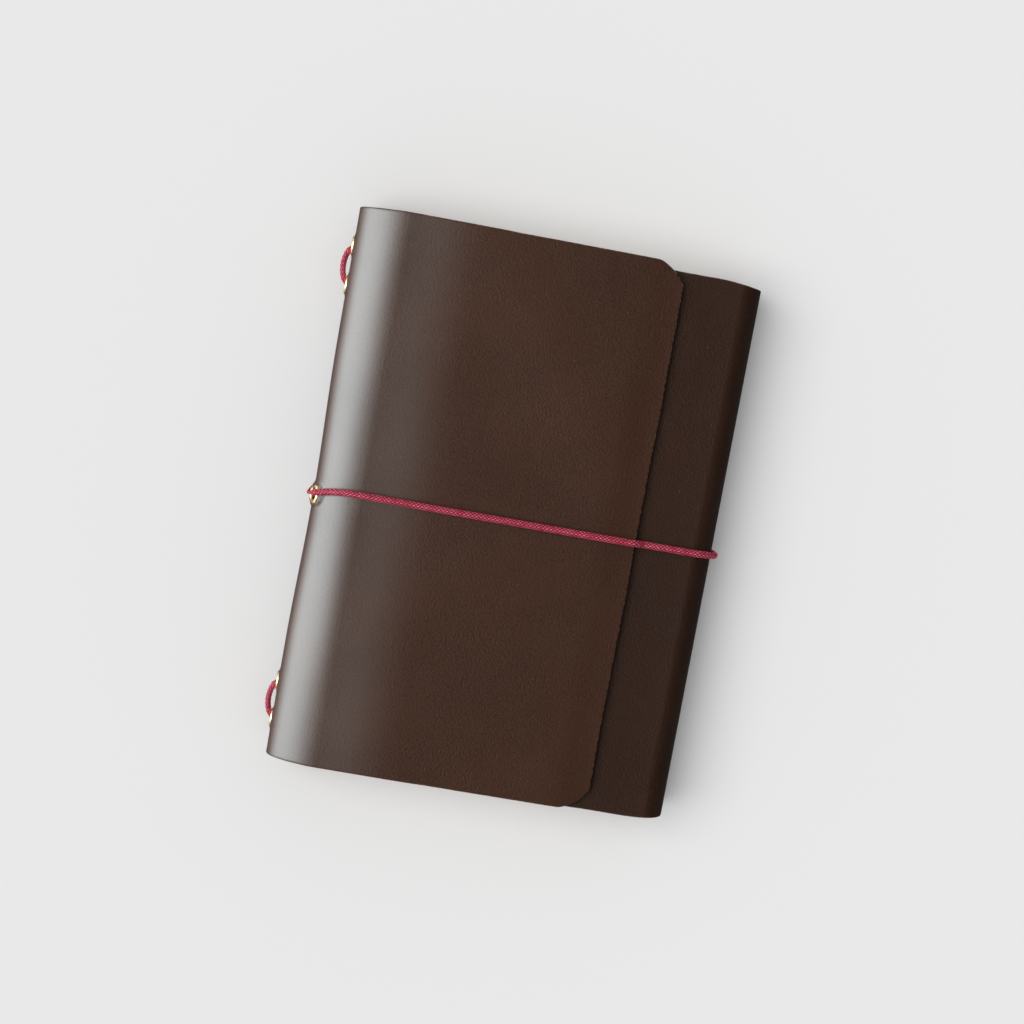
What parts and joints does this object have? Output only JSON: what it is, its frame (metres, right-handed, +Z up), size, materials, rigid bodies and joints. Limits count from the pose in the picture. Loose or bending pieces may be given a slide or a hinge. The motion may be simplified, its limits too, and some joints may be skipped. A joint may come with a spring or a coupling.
{
  "type": "leather journal",
  "caption": "Soft leather wrap journal, closed, with a tucked flap, brass eyelets on the spine, an elastic closure loop and refillable stapled notebooks inside.",
  "frame": {"origin": "centre of the footprint, cords and loops included, on the surface that the closed journal lies on", "axes": "+X from the spine to the fore edge, +Y from the tail to the head, +Z up through the front cover"},
  "size_m": [0.1236, 0.16, 0.0267],
  "materials": {
    "leather": "soft waxed, fine pebble grain",
    "elastic_cord": "braided",
    "eyelet_brass": "polished",
    "notebook_card": "uncoated brown card",
    "notebook_paper": "uncoated cream paper",
    "staple_steel": "plain wire"
  },
  "bodies": {
    "back_cover": {"back_cover_leather": "leather", "insert_knot": "elastic_cord", "lower_notebook_back_card": "notebook_card", "lower_notebook_back_pages": "notebook_paper", "lower_notebook_front_card": "notebook_card", "lower_notebook_front_pages": "notebook_paper", "lower_head_staple": "staple_steel", "lower_tail_staple": "staple_steel", "upper_notebook_back_card": "notebook_card", "upper_notebook_back_pages": "notebook_paper", "upper_notebook_front_card": "notebook_card", "upper_notebook_front_pages": "notebook_paper", "upper_head_staple": "staple_steel", "upper_tail_staple": "staple_steel"},
    "spine": {"spine_leather": "leather", "head_outer_eyelet": "eyelet_brass", "head_inner_eyelet": "eyelet_brass", "tail_inner_eyelet": "eyelet_brass", "tail_outer_eyelet": "eyelet_brass", "closure_eyelet": "eyelet_brass", "closure_knot": "elastic_cord", "insert_elastic": "elastic_cord"},
    "front_cover": {"front_cover_leather": "leather"},
    "fore_edge": {"fore_edge_leather": "leather"},
    "flap": {"flap_leather": "leather"},
    "closure_loop": {"closure_elastic": "elastic_cord"}
  },
  "joints": [
    {"name": "spine_fold", "type": "hinge", "parent": "back_cover", "child": "spine", "pos_m": [-0.05621, 0, 0.00236], "axis": [0, -1, 0], "range_deg": [0, 90], "deforming": ["insert_elastic"]},
    {"name": "front_cover_fold", "type": "hinge", "parent": "spine", "child": "front_cover", "pos_m": [-0.05621, 0, 0.02204], "axis": [0, -1, 0], "range_deg": [0, 90]},
    {"name": "fore_edge_fold", "type": "hinge", "parent": "back_cover", "child": "fore_edge", "pos_m": [0.05793, 0, 0.0015], "axis": [0, 1, 0], "range_deg": [0, 90]},
    {"name": "flap_fold", "type": "hinge", "parent": "fore_edge", "child": "flap", "pos_m": [0.05793, 0, 0.0206], "axis": [0, 1, 0], "range_deg": [0, 90]},
    {"name": "closure_release", "type": "hinge", "parent": "spine", "child": "closure_loop", "pos_m": [-0.05992, -0.0008, 0.01802], "axis": [-0.5774, 0.5774, 0.5774], "range_deg": [0, 120], "deforming": ["closure_elastic"]}
  ],
  "couplings": [
    {"joint": "front_cover_fold", "follows": "spine_fold", "ratio": 1},
    {"joint": "fore_edge_fold", "follows": "spine_fold", "ratio": 1},
    {"joint": "flap_fold", "follows": "spine_fold", "ratio": 1},
    {"joint": "closure_release", "follows": "spine_fold", "ratio": 1.3333}
  ]
}
